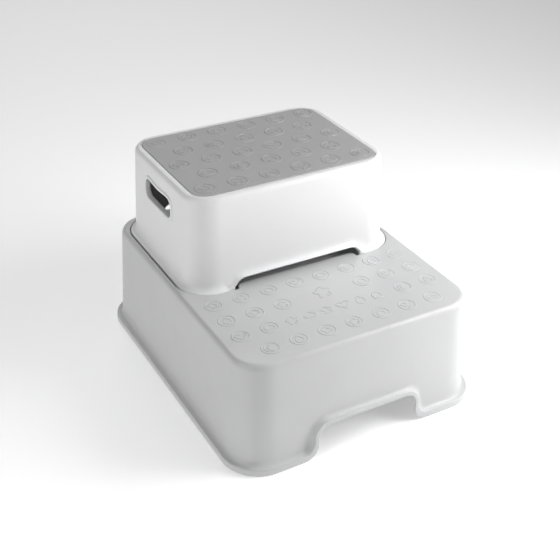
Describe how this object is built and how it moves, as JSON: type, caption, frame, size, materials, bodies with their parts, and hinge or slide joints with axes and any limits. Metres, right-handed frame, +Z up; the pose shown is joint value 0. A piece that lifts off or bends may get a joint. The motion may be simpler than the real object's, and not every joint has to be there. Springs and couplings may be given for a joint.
{
  "type": "step stool",
  "caption": "Child's two-step plastic stool: a wide flared base step and a lift-off top step with hand holes and a grippy tread mat.",
  "frame": {"origin": "centre of the base's footprint, on the floor", "axes": "+X to the right seen from the front, +Y from the front tread to the back, +Z up"},
  "size_m": [0.311, 0.376, 0.2415],
  "materials": {
    "base_plastic": "satin",
    "top_plastic": "satin",
    "mat_rubber": "matt",
    "foot_rubber": "matt"
  },
  "bodies": {
    "base_step": {"base_shell": "base_plastic", "base_foot_front_left": "foot_rubber", "base_foot_front_right": "foot_rubber", "base_foot_back_left": "foot_rubber", "base_foot_back_right": "foot_rubber"},
    "top_step": {"top_shell": "top_plastic", "top_mat": "mat_rubber", "top_foot_front_left": "foot_rubber", "top_foot_front_right": "foot_rubber", "top_foot_back_left": "foot_rubber", "top_foot_back_right": "foot_rubber"}
  },
  "joints": [
    {"name": "top_step_lift", "type": "slide", "parent": "base_step", "child": "top_step", "axis": [0, 0, 1], "range_m": [0, 0.15]}
  ]
}
